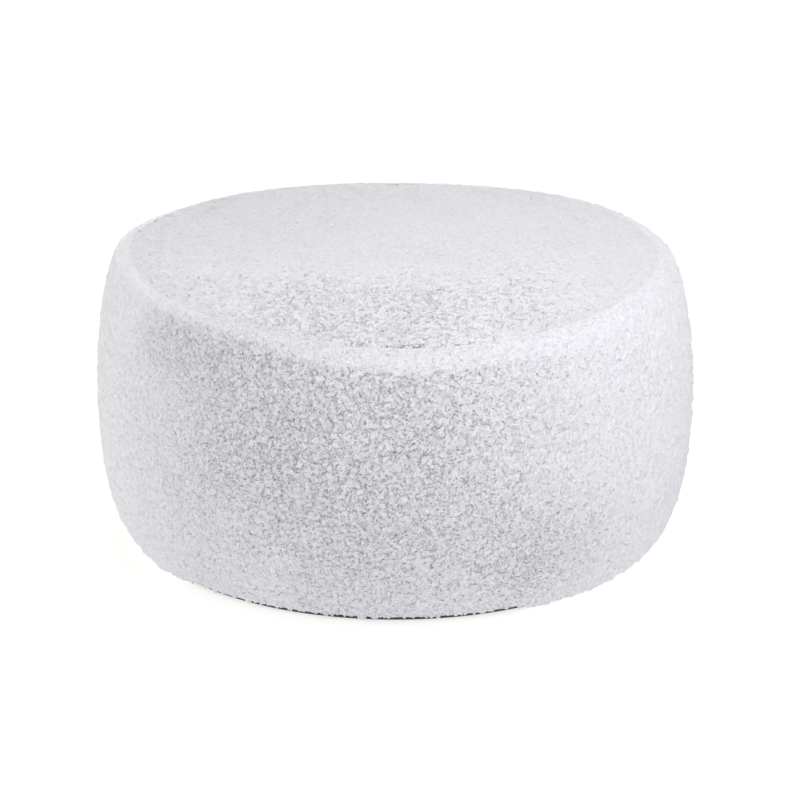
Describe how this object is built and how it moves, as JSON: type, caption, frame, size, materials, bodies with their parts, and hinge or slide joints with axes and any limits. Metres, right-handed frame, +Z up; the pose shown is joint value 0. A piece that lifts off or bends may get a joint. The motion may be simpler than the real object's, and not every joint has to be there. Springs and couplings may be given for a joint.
{
  "type": "inflatable pouf",
  "caption": "Round barrel-shaped inflatable pouf with a white curly pile cover, a softly ridged top seam and a dark flat base.",
  "frame": {"origin": "middle of the flat underside, on the surface the pouf stands on", "axes": "+Z up out of the middle of the top; -Y towards the side that faced the camera; +X to its right"},
  "size_m": [0.54, 0.54, 0.265],
  "materials": {
    "pile_fabric": "short curly white pile",
    "base_cloth": "plain charcoal weave"
  },
  "bodies": {
    "root": {"top_panel": "pile_fabric", "side_band": "pile_fabric", "base_panel": "base_cloth"}
  },
  "joints": []
}
